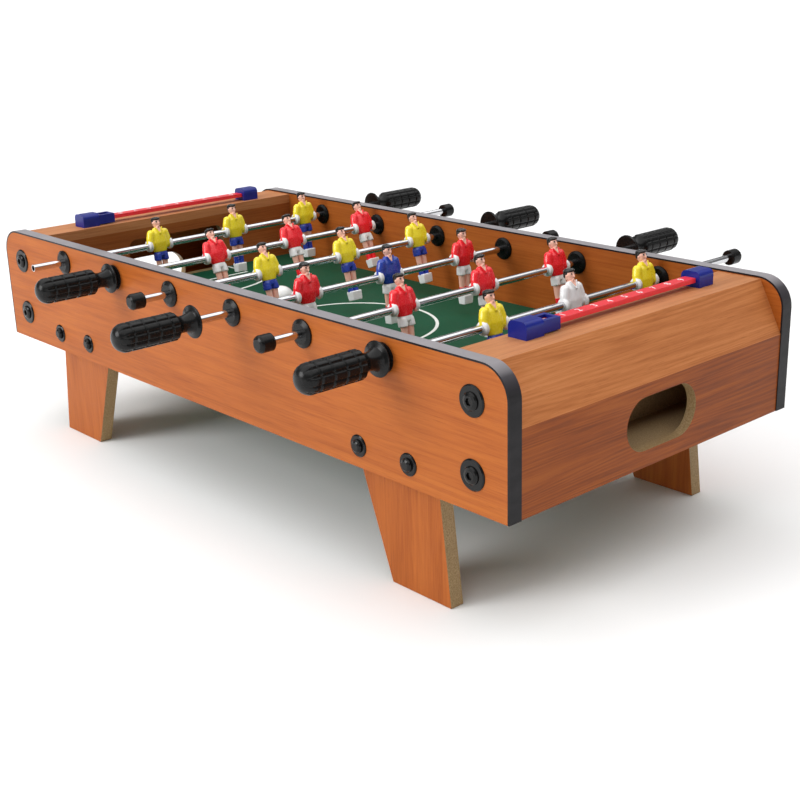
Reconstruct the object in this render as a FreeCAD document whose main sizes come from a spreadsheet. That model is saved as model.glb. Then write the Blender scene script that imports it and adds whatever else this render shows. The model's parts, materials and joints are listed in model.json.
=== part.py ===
import FreeCAD, Part
import os

import Sketcher

# Tabletop foosball. Origin on the supporting surface under the middle of the
# table, +X along the table towards the right-hand end, -Y the near long side,
# +Z up. All values are millimetres and degrees.

DIMENSIONS = {
    "half_length": 345.0,
    "half_width": 162.0,
    "wall_thickness": 12.0,
    "wall_bottom": 90.0,
    "wall_height": 107.5,
    "wall_corner": 24.0,
    "band_thickness": 1.5,
    "rod_pitch": 90.0,
    "rod_height": 180.5,
    "tube_radius": 3.2,
    "tube_bore": 2.6,
    "running_gap": 0.05,
    "bushing_barrel": 6.5,
    "bushing_flange": 11.2,
    "bushing_flange_in": 10.4,
    "bushing_step": 3.0,
    "field_top": 129.0,
    "field_thickness": 6.0,
    "goal_wall_x": 284.0,
    "goal_wall_thickness": 9.0,
    "goal_half_width": 58.0,
    "goal_top": 176.0,
    "goal_corner": 9.0,
    "end_flush_gap": 0.8,
    "end_panel_thickness": 8.0,
    "end_panel_top": 154.0,
    "top_panel_crease": 22.0,
    "top_panel_drop": 2.0,
    "top_panel_thickness": 9.0,
    "slant_thickness_x": 9.1,
    "mitre_x": 4.3,
    "slot_half_straight": 20.0,
    "slot_radius": 20.5,
    "slot_height": 123.5,
    "return_floor_top": 100.0,
    "return_floor_thickness": 6.0,
    "block_half_x": 9.0,
    "block_width": 24.0,
    "block_top": 175.0,
    "bolt_x": 312.0,
    "bolt_low": 117.0,
    "bolt_high": 169.0,
    "bolt_shank": 3.0,
    "bolt_hole": 3.2,
    "bolt_length": 30.0,
    "bolt_head": 6.6,
    "bolt_head_height": 2.2,
    "bolt_socket": 2.9,
    "washer_radius": 11.4,
    "washer_thickness": 1.4,
    "leg_bolt_inner": 195.0,
    "leg_bolt_outer": 248.5,
    "leg_bolt_height": 107.0,
    "leg_bolt_head": 5.2,
    "leg_bolt_head_height": 2.8,
    "leg_bolt_length": 23.0,
    "leg_washer_radius": 8.6,
    "leg_washer_thickness": 1.2,
    "leg_thickness": 12.0,
    "leg_top": 120.0,
    "leg_foot_inner": 215.0,
    "leg_foot_outer": 277.0,
    "leg_waist_inner": 182.0,
    "leg_waist_outer": 266.5,
    "leg_top_inner": 180.0,
    "batten_half_length": 168.0,
    "batten_side": 12.0,
    "figure_spacing": 91.0,
    "cuff_half_width": 13.2,
    "cuff_radius": 5.6,
    "foot_bottom": 42.5,
    "foot_top": 33.5,
    "foot_half_width": 5.6,
    "foot_heel": 4.2,
    "foot_toe": 5.4,
    "handle_length": 71.0,
    "handle_flange": 13.3,
    "handle_neck": 6.6,
    "handle_grip": 11.2,
    "handle_groove": 10.2,
    "handle_bore_depth": 52.0,
    "cap_radius": 6.8,
    "cap_length": 13.0,
    "cap_bore_depth": 8.5,
    "tube_end_gap": 0.5,
    "scorer_x": 297.5,
    "scorer_y": 3.5,
    "scorer_half_length": 107.0,
    "scorer_block_length": 18.0,
    "scorer_block_half_width": 8.6,
    "scorer_block_height": 12.5,
    "scorer_rail_half_width": 5.0,
    "scorer_rail_lift": 4.0,
    "scorer_rail_height": 3.6,
    "marker_half_length": 8.5,
    "marker_half_width": 7.6,
    "marker_lift": 1.2,
    "marker_height": 9.0,
    "marker_gap": 0.3,
    "marker_window_half_length": 5.2,
    "marker_window_half_width": 4.0,
    "marker_start": 79.7,
    "ball_radius": 12.0,
    "ball_x": -86.5,
    "ball_y": -15.0,
    "ball_gap": 0.3,
}

# Each rod: middle figure position along Y, lean of the figures towards the
# right-hand end, side of the handle (-1 near, +1 far), handle flange position
# and the outer end of the plain side, all at rest.
RODS = [
    {"middle": 33.0, "lean": 8.0, "side": 1, "flange": 221.0, "plain_end": -194.0, "cap": False},
    {"middle": 39.0, "lean": 22.0, "side": -1, "flange": -166.5, "plain_end": 257.0, "cap": True},
    {"middle": 31.5, "lean": 16.0, "side": 1, "flange": 223.5, "plain_end": -201.5, "cap": True},
    {"middle": 5.0, "lean": 4.0, "side": -1, "flange": -198.5, "plain_end": 223.0, "cap": True},
    {"middle": 31.0, "lean": 12.0, "side": 1, "flange": 220.5, "plain_end": -204.0, "cap": True},
    {"middle": 40.0, "lean": 12.0, "side": -1, "flange": -166.5, "plain_end": 264.0, "cap": True},
]

ENDS = {"left": -1, "right": 1}
SIDES = {"near": -1, "far": 1}


class Dim:
    """A length with the spreadsheet formula that gives it."""

    def __init__(self, value, text):
        self.value = value
        self.text = text

    def __add__(self, other):
        other = as_dim(other)
        return Dim(self.value + other.value, f"({self.text} + {other.text})")

    def __sub__(self, other):
        other = as_dim(other)
        return Dim(self.value - other.value, f"({self.text} - {other.text})")

    def __mul__(self, factor):
        return Dim(self.value * factor, f"({self.text} * {factor})")

    def __neg__(self):
        return Dim(-self.value, f"(0 - {self.text})")

    def __radd__(self, other):
        return as_dim(other) + self

    def __rsub__(self, other):
        return as_dim(other) - self


def as_dim(value):
    return value if isinstance(value, Dim) else Dim(float(value), f"({float(value)})")


doc = FreeCAD.newDocument("tabletop_foosball")
sheet = doc.addObject("Spreadsheet::Sheet", "dims")
D = {}


def fill_sheet():
    """Write every driving dimension, and the rest position of each rod, to the sheet."""
    values = dict(DIMENSIONS)
    for number, rod in enumerate(RODS, 1):
        for key in ("middle", "lean", "flange", "plain_end"):
            values[f"rod_{number}_{key}"] = rod[key]
    for row, (alias, value) in enumerate(values.items(), 1):
        sheet.set(f"A{row}", alias)
        sheet.set(f"B{row}", str(value))
        sheet.setAlias(f"B{row}", alias)
        D[alias] = Dim(value, f"dims.{alias}")
    doc.recompute()


fill_sheet()


# Bodies, sketches and features


def new_body(name, x=0.0, y=0.0, z=0.0, turn=None):
    """Make a body bound to the sheet; turn is (axis, angle)."""
    body = doc.addObject("PartDesign::Body", name)
    body.Label = name
    body.AllowCompound = True
    x, y, z = as_dim(x), as_dim(y), as_dim(z)
    rotation = FreeCAD.Rotation()
    if turn:
        rotation = FreeCAD.Rotation(turn[0], as_dim(turn[1]).value)
    body.Placement = FreeCAD.Placement(FreeCAD.Vector(x.value, y.value, z.value), rotation)
    for axis, value in (("x", x), ("y", y), ("z", z)):
        if "dims." in value.text:
            body.setExpression(f"Placement.Base.{axis}", value.text)
    return body


def origin_feature(body, role):
    return next(item for item in body.Origin.OriginFeatures if item.Role == role)


def new_sketch(body, role, name, offset=None):
    """Sketch on one of the body's origin planes, shifted along the plane's normal."""
    sketch = body.newObject("Sketcher::SketchObject", name)
    sketch.AttachmentSupport = [(origin_feature(body, role), "")]
    sketch.MapMode = "FlatFace"
    if offset is not None:
        offset = as_dim(offset)
        sketch.AttachmentOffset = FreeCAD.Placement(
            FreeCAD.Vector(0, 0, offset.value), FreeCAD.Rotation())
        sketch.setExpression("AttachmentOffset.Base.z", offset.text)
    return sketch


def bind(sketch, constraint, value):
    """Add a driving constraint bound to the formula of a dimension."""
    index = sketch.addConstraint(constraint)
    if "dims." in value.text:
        sketch.setExpression(f"Constraints[{index}]", value.text)


def fix_point(sketch, geometry, point, x, y):
    x, y = as_dim(x), as_dim(y)
    bind(sketch, Sketcher.Constraint("DistanceX", -1, 1, geometry, point, x.value), x)
    bind(sketch, Sketcher.Constraint("DistanceY", -1, 1, geometry, point, y.value), y)


def polygon(sketch, points):
    """Closed outline through the given corners, every corner fixed by the sheet."""
    corners = [(as_dim(x), as_dim(y)) for x, y in points]
    vectors = [FreeCAD.Vector(x.value, y.value, 0) for x, y in corners]
    count = len(vectors)
    first = sketch.GeometryCount
    for i in range(count):
        sketch.addGeometry(Part.LineSegment(vectors[i], vectors[(i + 1) % count]))
    for i in range(count):
        following = first + (i + 1) % count
        sketch.addConstraint(Sketcher.Constraint("Coincident", first + i, 2, following, 1))
        fix_point(sketch, first + i, 1, *corners[i])


def rectangle(sketch, x_low, y_low, x_high, y_high):
    polygon(sketch, [(x_low, y_low), (x_high, y_low), (x_high, y_high), (x_low, y_high)])


def circles(sketch, centres, radius):
    radius = as_dim(radius)
    normal = FreeCAD.Vector(0, 0, 1)
    for x, y in centres:
        x, y = as_dim(x), as_dim(y)
        centre = FreeCAD.Vector(x.value, y.value, 0)
        index = sketch.addGeometry(Part.Circle(centre, normal, radius.value))
        fix_point(sketch, index, 3, x, y)
        bind(sketch, Sketcher.Constraint("Radius", index, radius.value), radius)


def line(sketch, start, end):
    """Straight side with both ends fixed by the sheet."""
    start, end = [tuple(as_dim(value) for value in point) for point in (start, end)]
    index = sketch.addGeometry(Part.LineSegment(
        FreeCAD.Vector(start[0].value, start[1].value, 0),
        FreeCAD.Vector(end[0].value, end[1].value, 0)))
    fix_point(sketch, index, 1, *start)
    fix_point(sketch, index, 2, *end)
    return index


def round_corner(sketch, before, after, middle, axis, centre):
    """Arc from the end of one side to the start of the next, through middle.

    centre is the arc centre's position along the named sketch axis."""
    centre = as_dim(centre)
    start = sketch.getPoint(before, 2)
    end = sketch.getPoint(after, 1)
    arc = Part.Arc(start, FreeCAD.Vector(middle[0], middle[1], 0), end)
    index = sketch.addGeometry(arc)
    turned = (sketch.getPoint(index, 1) - start).Length > 0.001
    first, last = (2, 1) if turned else (1, 2)
    sketch.addConstraint(Sketcher.Constraint("Coincident", before, 2, index, first))
    sketch.addConstraint(Sketcher.Constraint("Coincident", index, last, after, 1))
    bind(sketch, Sketcher.Constraint(f"Distance{axis}", -1, 1, index, 3, centre.value), centre)


def stadium(sketch, half_straight, radius, height=0.0, upright=False):
    """Round-ended outline; the straight sides run along x, or along y if upright."""
    s, r, h = as_dim(half_straight), as_dim(radius), as_dim(height)

    def at(along_side, across):
        return (across, along_side) if upright else (along_side, across + h)

    first = line(sketch, at(-s, -r), at(s, -r))
    second = line(sketch, at(s, r), at(-s, r))
    axis = "Y" if upright else "X"
    for before, after, centre, reach in ((first, second, s, r), (second, first, -s, -r)):
        middle = at(centre + reach, as_dim(0))
        round_corner(sketch, before, after, [value.value for value in middle], axis, centre)


def arch(sketch, half, low, high, radius):
    """Upright rectangle with both top corners rounded."""
    right = line(sketch, (half, low), (half, high - radius))
    top = line(sketch, (half - radius, high), (radius - half, high))
    left = line(sketch, (-half, high - radius), (-half, low))
    bottom = sketch.addGeometry(Part.LineSegment(sketch.getPoint(left, 2), sketch.getPoint(right, 1)))
    sketch.addConstraint(Sketcher.Constraint("Coincident", left, 2, bottom, 1))
    sketch.addConstraint(Sketcher.Constraint("Coincident", bottom, 2, right, 1))
    inset = radius.value * (1 - 0.5 ** 0.5)
    x, y = half.value - inset, high.value - inset
    round_corner(sketch, right, top, (x, y), "X", half - radius)
    round_corner(sketch, top, left, (-x, y), "X", radius - half)


def pad(body, sketch, length, name):
    """Pad evenly to both sides of the sketch plane."""
    length = as_dim(length)
    feature = body.newObject("PartDesign::Pad", name)
    feature.Profile = sketch
    feature.SideType = "Symmetric"
    feature.Length = length.value
    feature.setExpression("Length", length.text)
    feature.Refine = True
    doc.recompute()
    return feature


def cut_through(body, sketch, name):
    """Cut the outline right through the body and check that it took material away."""
    before = body.Shape.Volume
    feature = body.newObject("PartDesign::Pocket", name)
    feature.Profile = sketch
    feature.Type = "ThroughAll"
    feature.SideType = "Symmetric"
    doc.recompute()
    if body.Shape.Volume > before - 0.5:
        raise RuntimeError(f"{name} cut nothing")
    return feature


def revolve(body, points, name):
    """Turn a profile of (position along Y, radius) corners about the body's Y axis."""
    sketch = new_sketch(body, "YZ_Plane", f"{name}_profile")
    polygon(sketch, points)
    feature = body.newObject("PartDesign::Revolution", name)
    feature.Profile = sketch
    feature.ReferenceAxis = (sketch, ["H_Axis"])
    feature.Angle = 360.0
    doc.recompute()
    return feature


def loft(body, sections, name):
    """Loft round-ended sections of (height, half width along Y, radius)."""
    sketches = []
    for i, (height, half_width, radius) in enumerate(sections):
        sketch = new_sketch(body, "XY_Plane", f"{name}_section_{i + 1}", height)
        stadium(sketch, half_width - radius, radius, upright=True)
        sketches.append(sketch)
    feature = body.newObject("PartDesign::AdditiveLoft", name)
    feature.Profile = sketches[0]
    feature.Sections = sketches[1:]
    doc.recompute()
    return feature


def fillet(body, chooser, radius, name):
    """Round the edges picked by the chooser, which is given each edge's middle point."""
    radius = as_dim(radius)
    base = body.Tip
    chosen = []
    for number, edge in enumerate(body.Shape.Edges, 1):
        middle = edge.valueAt((edge.FirstParameter + edge.LastParameter) / 2)
        if chooser(edge, body.Placement.inverse().multVec(middle)):
            chosen.append(f"Edge{number}")
    if not chosen:
        raise RuntimeError(f"{name} found no edges")
    feature = body.newObject("PartDesign::Fillet", name)
    feature.Base = (base, chosen)
    feature.Radius = radius.value
    feature.setExpression("Radius", radius.text)
    doc.recompute()
    return feature


def along(edge, axis):
    """True for a straight edge parallel to an axis."""
    if edge.Curve.TypeId != "Part::GeomLine":
        return False
    direction = (edge.Vertexes[1].Point - edge.Vertexes[0].Point).normalize()
    return abs(direction.dot(axis)) > 0.999


def repeat(body, features, directions, name, mirror=None):
    """Repeat features along one or two directions, then mirror the set if asked.

    Each direction is (axis role, distance between neighbours, count)."""
    multi = body.newObject("PartDesign::MultiTransform", name)
    multi.Originals = features
    body.Tip = multi
    steps = []
    for i, (role, spacing, count) in enumerate(directions):
        spacing = as_dim(spacing)
        step = body.newObject("PartDesign::LinearPattern", f"{name}_{i + 1}")
        step.Direction = (origin_feature(body, role), [""])
        step.Mode = "Extent"
        step.Length = spacing.value * (count - 1)
        step.setExpression("Length", (spacing * (count - 1)).text)
        step.Occurrences = count
        steps.append(step)
    if mirror:
        step = body.newObject("PartDesign::Mirrored", f"{name}_mirror")
        step.MirrorPlane = (origin_feature(body, mirror), [""])
        steps.append(step)
    multi.Transformations = steps
    body.Tip = multi
    doc.recompute()
    return multi


X_AXIS = FreeCAD.Vector(1, 0, 0)
Y_AXIS = FreeCAD.Vector(0, 1, 0)
Z_AXIS = FreeCAD.Vector(0, 0, 1)

INNER = D["half_width"] - D["wall_thickness"]
WALL_MIDDLE = D["half_width"] - D["wall_thickness"] * 0.5
WALL_TOP = D["wall_bottom"] + D["wall_height"]
PANEL_TOP = WALL_TOP - D["top_panel_drop"]
END_FACE = D["half_length"] - D["end_flush_gap"]
CREASE_X = D["half_length"] - D["top_panel_crease"]
GOAL_WALL_BACK = D["goal_wall_x"] + D["goal_wall_thickness"]
FIRST_ROD = D["rod_pitch"] * -2.5
BORE = D["tube_radius"] + D["running_gap"]


# Table


def side_wall(side, sign):
    body = new_body(f"side_wall_{side}", 0, WALL_MIDDLE * sign, 0)
    band = D["band_thickness"]
    outline = new_sketch(body, "XZ_Plane", f"wall_{side}_outline")
    arch(outline, D["half_length"] - band, D["wall_bottom"], WALL_TOP - band,
         D["wall_corner"] - band)
    pad(body, outline, D["wall_thickness"], f"wall_{side}_board")
    rods = new_sketch(body, "XZ_Plane", f"wall_{side}_rod_holes")
    circles(rods, [(D["rod_pitch"] * (i - 2.5), D["rod_height"]) for i in range(6)],
            D["bushing_barrel"])
    cut_through(body, rods, f"wall_{side}_rod_cut")
    bolts = new_sketch(body, "XZ_Plane", f"wall_{side}_bolt_holes")
    centres = []
    for end in (-1, 1):
        centres += [(D["bolt_x"] * end, D["bolt_low"]), (D["bolt_x"] * end, D["bolt_high"]),
                    (D["leg_bolt_inner"] * end, D["leg_bolt_height"]),
                    (D["leg_bolt_outer"] * end, D["leg_bolt_height"])]
    circles(bolts, centres, D["bolt_hole"])
    cut_through(body, bolts, f"wall_{side}_bolt_cut")


def edge_band(side, sign):
    body = new_body(f"edge_band_{side}", 0, WALL_MIDDLE * sign, 0)
    band = D["band_thickness"]
    outer = new_sketch(body, "XZ_Plane", f"band_{side}_outer")
    arch(outer, D["half_length"], D["wall_bottom"], WALL_TOP, D["wall_corner"])
    pad(body, outer, D["wall_thickness"], f"band_{side}_blank")
    inner = new_sketch(body, "XZ_Plane", f"band_{side}_inner")
    arch(inner, D["half_length"] - band, D["wall_bottom"], WALL_TOP - band,
         D["wall_corner"] - band)
    cut_through(body, inner, f"band_{side}_opening")


def panel_across(name, points):
    """A board of constant section running across the table between the walls."""
    body = new_body(name)
    sketch = new_sketch(body, "XZ_Plane", f"{name}_section")
    polygon(sketch, points)
    pad(body, sketch, INNER * 2, f"{name}_board")
    return body


def end_boards(end, sign):
    """End panel with its slot, slanted panel, top panel, goal wall and return floor."""
    face, inside = END_FACE * sign, (END_FACE - D["end_panel_thickness"]) * sign
    low, fold = D["wall_bottom"], D["end_panel_top"]
    body = panel_across(f"end_panel_{end}", [(inside, low), (face, low), (face, fold), (inside, fold)])
    slot = new_sketch(body, "YZ_Plane", f"end_panel_{end}_slot", face)
    stadium(slot, D["slot_half_straight"], D["slot_radius"], D["slot_height"])
    cut_through(body, slot, f"end_panel_{end}_slot_cut")

    crease, mitre = CREASE_X * sign, (CREASE_X - D["mitre_x"]) * sign
    under = PANEL_TOP - D["top_panel_thickness"]
    slant_in = (END_FACE - D["slant_thickness_x"]) * sign
    panel_across(f"slant_panel_{end}",
                 [(face, fold), (crease, PANEL_TOP), (mitre, under), (slant_in, fold)])
    goal_face, goal_back = D["goal_wall_x"] * sign, GOAL_WALL_BACK * sign
    panel_across(f"top_panel_{end}",
                 [(goal_face, under), (goal_face, PANEL_TOP), (crease, PANEL_TOP), (mitre, under)])

    body = panel_across(f"goal_wall_{end}",
                        [(goal_face, low), (goal_back, low), (goal_back, under), (goal_face, under)])
    goal = new_sketch(body, "YZ_Plane", f"goal_wall_{end}_opening", goal_face)
    half = D["goal_half_width"]
    rectangle(goal, -half, D["field_top"], half, D["goal_top"])
    cut_through(body, goal, f"goal_wall_{end}_opening_cut")
    height, reach = D["goal_top"].value, half.value + 1
    fillet(body, lambda edge, p: along(edge, X_AXIS) and abs(p.z - height) < 1 and abs(p.y) < reach,
           D["goal_corner"], f"goal_wall_{end}_corners")

    top = D["return_floor_top"]
    panel_across(f"return_floor_{end}",
                 [(goal_back, top - D["return_floor_thickness"]), (inside, top - D["return_floor_thickness"]),
                  (inside, top), (goal_back, top)])


def playfield():
    body = new_body("playfield")
    sketch = new_sketch(body, "XZ_Plane", "playfield_section")
    rectangle(sketch, -D["goal_wall_x"], D["field_top"] - D["field_thickness"],
              D["goal_wall_x"], D["field_top"])
    pad(body, sketch, INNER * 2, "playfield_board")


def ball():
    """Ball lying on the field between two rods."""
    radius = D["ball_radius"]
    body = new_body("ball", D["ball_x"], D["ball_y"], D["field_top"] + D["ball_gap"] + radius)
    sketch = new_sketch(body, "YZ_Plane", "ball_profile")
    axis = line(sketch, (-radius, 0), (radius, 0))
    round_corner(sketch, axis, axis, (0, radius.value), "Y", 0)
    turned = body.newObject("PartDesign::Revolution", "ball_turned")
    turned.Profile = sketch
    turned.ReferenceAxis = (sketch, ["H_Axis"])
    turned.Angle = 360.0
    doc.recompute()


def field_battens():
    """Glue strips under the field, one along each wall between the legs."""
    body = new_body("field_battens")
    under = D["field_top"] - D["field_thickness"]
    sketch = new_sketch(body, "YZ_Plane", "batten_section")
    rectangle(sketch, INNER - D["batten_side"], under - D["batten_side"], INNER, under)
    strip = pad(body, sketch, D["batten_half_length"] * 2, "batten_strip")
    repeat(body, [strip], [], "batten_pair", mirror="XZ_Plane")


def corner_blocks():
    """Four upright blocks that take the bolts through the walls."""
    body = new_body("corner_blocks", 0, 0, 0)
    low, high = D["return_floor_top"], D["block_top"]
    outline = new_sketch(body, "XZ_Plane", "block_outline", -(INNER - D["block_width"] * 0.5))
    rectangle(outline, D["bolt_x"] - D["block_half_x"], low, D["bolt_x"] + D["block_half_x"], high)
    block = pad(body, outline, D["block_width"], "block_board")
    holes = new_sketch(body, "XZ_Plane", "block_holes")
    circles(holes, [(D["bolt_x"], D["bolt_low"]), (D["bolt_x"], D["bolt_high"])], D["bolt_hole"])
    drilled = cut_through(body, holes, "block_drilling")
    across = repeat(body, [block, drilled], [], "block_pair", mirror="XZ_Plane")
    across.TransformMode = "Whole shape"
    doc.recompute()
    other_end = body.newObject("PartDesign::Mirrored", "block_set")
    other_end.MirrorPlane = (origin_feature(body, "YZ_Plane"), [""])
    other_end.TransformMode = "Whole shape"
    body.Tip = other_end
    doc.recompute()


def leg(side, side_sign, end, end_sign):
    name = f"leg_{side}_{end}"
    body = new_body(name, 0, (INNER - D["leg_thickness"] * 0.5) * side_sign, 0)
    outline = new_sketch(body, "XZ_Plane", f"{name}_outline")
    corners = [(D["leg_foot_inner"], 0), (D["leg_foot_outer"], 0),
               (D["leg_waist_outer"], D["wall_bottom"]), (D["leg_waist_outer"], D["leg_top"]),
               (D["leg_top_inner"], D["leg_top"]), (D["leg_waist_inner"], D["wall_bottom"])]
    polygon(outline, [(as_dim(x) * end_sign, z) for x, z in corners])
    pad(body, outline, D["leg_thickness"], f"{name}_board")
    holes = new_sketch(body, "XZ_Plane", f"{name}_holes")
    circles(holes, [(D["leg_bolt_inner"] * end_sign, D["leg_bolt_height"]),
                    (D["leg_bolt_outer"] * end_sign, D["leg_bolt_height"])], D["bolt_hole"])
    cut_through(body, holes, f"{name}_drilling")


def rod_bushings(side, sign):
    """Six flanged sleeves in one wall, flange thickness tapering to the rim."""
    body = new_body(f"rod_bushings_{side}", FIRST_ROD, 0, D["rod_height"])
    inner, outer = INNER * sign, D["half_width"] * sign
    step = D["bushing_step"] * sign
    profile = [(inner - step, BORE), (outer + step, BORE),
               (outer + step, D["bushing_barrel"] + 1.5),
               (outer + step * 0.45, D["bushing_flange"]),
               (outer, D["bushing_flange"]), (outer, D["bushing_barrel"]),
               (inner, D["bushing_barrel"]), (inner, D["bushing_flange_in"]),
               (inner - step * 0.45, D["bushing_flange_in"]),
               (inner - step, D["bushing_barrel"] + 2.0)]
    sleeve = revolve(body, profile, f"bushing_{side}")
    repeat(body, [sleeve], [("X_Axis", D["rod_pitch"], 6)], f"bushings_{side}_row")


def washer_profile(radius, thickness):
    face = D["half_width"]
    return [(face, D["bolt_hole"]), (face, radius), (face + thickness * 0.4, radius),
            (face + thickness, radius - 0.9), (face + thickness, D["bolt_hole"])]


def bolt_profile(seat, head, height, length):
    """Domed head on the washer with a shank through the wall."""
    seat = D["half_width"] + seat
    return [(seat, D["bolt_shank"]), (seat, head), (seat + height * 0.35, head),
            (seat + height * 0.75, head * 0.86), (seat + height, head * 0.6),
            (seat + height, 0), (seat - length, 0), (seat - length, D["bolt_shank"])]


def panel_fasteners():
    """Washers and socket-headed bolts at both ends of both walls."""
    height = D["bolt_high"] - D["bolt_low"]
    grid = [("X_Axis", D["bolt_x"] * 2, 2), ("Z_Axis", height, 2)]
    body = new_body("panel_washers", -D["bolt_x"], 0, D["bolt_low"])
    ring = revolve(body, washer_profile(D["washer_radius"], D["washer_thickness"]), "panel_washer")
    repeat(body, [ring], grid, "panel_washer_set", mirror="XZ_Plane")

    body = new_body("panel_bolts", -D["bolt_x"], 0, D["bolt_low"])
    seat, rise = D["washer_thickness"], D["bolt_head_height"]
    shape = revolve(body, bolt_profile(seat, D["bolt_head"], rise, D["bolt_length"]), "panel_bolt")
    socket = new_sketch(body, "XZ_Plane", "panel_bolt_socket", -(D["half_width"] + seat + rise))
    key = D["bolt_socket"]
    polygon(socket, [(key, 0), (key * 0.5, key * 0.866), (key * -0.5, key * 0.866),
                     (-key, 0), (key * -0.5, key * -0.866), (key * 0.5, key * -0.866)])
    before = body.Shape.Volume
    recess = body.newObject("PartDesign::Pocket", "panel_bolt_recess")
    recess.Profile = socket
    recess.SideType = "Symmetric"
    recess.Length = rise.value * 1.2
    recess.setExpression("Length", (rise * 1.2).text)
    doc.recompute()
    if body.Shape.Volume > before - 1:
        raise RuntimeError("bolt recess cut nothing")
    repeat(body, [shape, recess], grid, "panel_bolt_set", mirror="XZ_Plane")


def leg_fasteners():
    """Small washers and dome-headed bolts that hold the legs."""
    pair = D["leg_bolt_outer"] - D["leg_bolt_inner"]
    across = D["leg_bolt_outer"] + D["leg_bolt_inner"]
    rows = [("X_Axis", pair, 2), ("X_Axis", across, 2)]
    body = new_body("leg_washers", -D["leg_bolt_outer"], 0, D["leg_bolt_height"])
    ring = revolve(body, washer_profile(D["leg_washer_radius"], D["leg_washer_thickness"]), "leg_washer")
    repeat(body, [ring], rows, "leg_washer_set", mirror="XZ_Plane")
    body = new_body("leg_bolts", -D["leg_bolt_outer"], 0, D["leg_bolt_height"])
    profile = bolt_profile(D["leg_washer_thickness"], D["leg_bolt_head"],
                           D["leg_bolt_head_height"], D["leg_bolt_length"])
    shape = revolve(body, profile, "leg_bolt")
    repeat(body, [shape], rows, "leg_bolt_set", mirror="XZ_Plane")


# Scorers


def scorer(end, sign):
    """Rail with numbers, a block at each end and the sliding marker."""
    x, base = D["scorer_x"] * sign, PANEL_TOP
    half, length = D["scorer_half_length"], D["scorer_block_length"]

    rail = new_body(f"scorer_rail_{end}", x, D["scorer_y"], base)
    sketch = new_sketch(rail, "XZ_Plane", f"rail_{end}_section")
    width, lift = D["scorer_rail_half_width"], D["scorer_rail_lift"]
    rectangle(sketch, -width, lift, width, lift + D["scorer_rail_height"])
    pad(rail, sketch, (half - length) * 2, f"rail_{end}_bar")

    blocks = new_body(f"scorer_blocks_{end}", x, D["scorer_y"], base)
    wide, high = D["scorer_block_half_width"], D["scorer_block_height"]
    outline = new_sketch(blocks, "XZ_Plane", f"block_{end}_outline", half - length * 0.5)
    rectangle(outline, -wide, 0, wide, high)
    one = pad(blocks, outline, length, f"block_{end}_near")
    top = high.value - 0.5
    fillet(blocks, lambda edge, p: along(edge, Y_AXIS) and p.z > top, high * 0.36,
           f"block_{end}_round")
    pair = repeat(blocks, [one], [], f"block_{end}_pair", mirror="XZ_Plane")
    pair.Originals = []
    pair.TransformMode = "Whole shape"
    doc.recompute()

    marker = new_body(f"scorer_marker_{end}", x, D["scorer_y"] - D["marker_start"], base)
    sketch = new_sketch(marker, "XZ_Plane", f"marker_{end}_section")
    outer, gap, low = D["marker_half_width"], D["marker_gap"], D["marker_lift"]
    rectangle(sketch, -outer, low, outer, low + D["marker_height"])
    pad(marker, sketch, D["marker_half_length"] * 2, f"marker_{end}_block")
    passage = new_sketch(marker, "XZ_Plane", f"marker_{end}_passage")
    rectangle(passage, -(width + gap), lift - gap, width + gap,
              lift + D["scorer_rail_height"] + gap)
    cut_through(marker, passage, f"marker_{end}_passage_cut")
    window = new_sketch(marker, "XY_Plane", f"marker_{end}_window", low + D["marker_height"])
    rectangle(window, -D["marker_window_half_width"], -D["marker_window_half_length"],
              D["marker_window_half_width"], D["marker_window_half_length"])
    depth = D["marker_height"] - lift + low
    recess = marker.newObject("PartDesign::Pocket", f"marker_{end}_window_cut")
    recess.Profile = window
    recess.Length = depth.value
    recess.setExpression("Length", depth.text)
    doc.recompute()


# Rods


def rod_tube(number, rod, x):
    """Hollow tube from inside the handle to the plain end."""
    side = rod["side"]
    handle_end = D[f"rod_{number}_flange"] + (D["handle_bore_depth"] - D["tube_end_gap"]) * side
    plain_end = D[f"rod_{number}_plain_end"]
    if rod["cap"]:
        inset = D["cap_length"] - D["cap_bore_depth"] + D["tube_end_gap"]
        plain_end = plain_end + inset * side
    body = new_body(f"rod_{number}_tube", x, 0, D["rod_height"])
    revolve(body, [(plain_end, D["tube_bore"]), (handle_end, D["tube_bore"]),
                   (handle_end, D["tube_radius"]), (plain_end, D["tube_radius"])],
            f"rod_{number}_tube_wall")


def rod_handle(number, rod, x):
    """Flange, neck, ringed grip and domed end; local +Y points away from the table."""
    half_turn = 0 if rod["side"] > 0 else 180
    body = new_body(f"rod_{number}_handle", x, D[f"rod_{number}_flange"], D["rod_height"],
                    (Z_AXIS, half_turn))
    length, grip, groove = D["handle_length"], D["handle_grip"], D["handle_groove"]
    profile = [(0, BORE), (0, D["handle_flange"]), (1.6, D["handle_flange"]),
               (3.4, D["handle_flange"] - 1.8), (6.0, D["handle_neck"] + 1.4),
               (10.0, D["handle_neck"]), (15.0, D["handle_neck"] + 0.4), (18.0, grip - 1.6)]
    profile.append((19.0, grip))
    for i in range(4):
        middle = 24.7 + 11.1 * i
        profile += [(middle - 0.9, grip), (middle - 0.6, groove), (middle + 0.6, groove), (middle + 0.9, grip)]
    profile += [(length - 9.5, grip), (length - 6.0, grip * 0.93), (length - 3.0, grip * 0.76),
                (length - 1.0, grip * 0.48), (length, grip * 0.2), (length, 0),
                (D["handle_bore_depth"], 0), (D["handle_bore_depth"], BORE)]
    revolve(body, profile, f"rod_{number}_grip")


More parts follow.
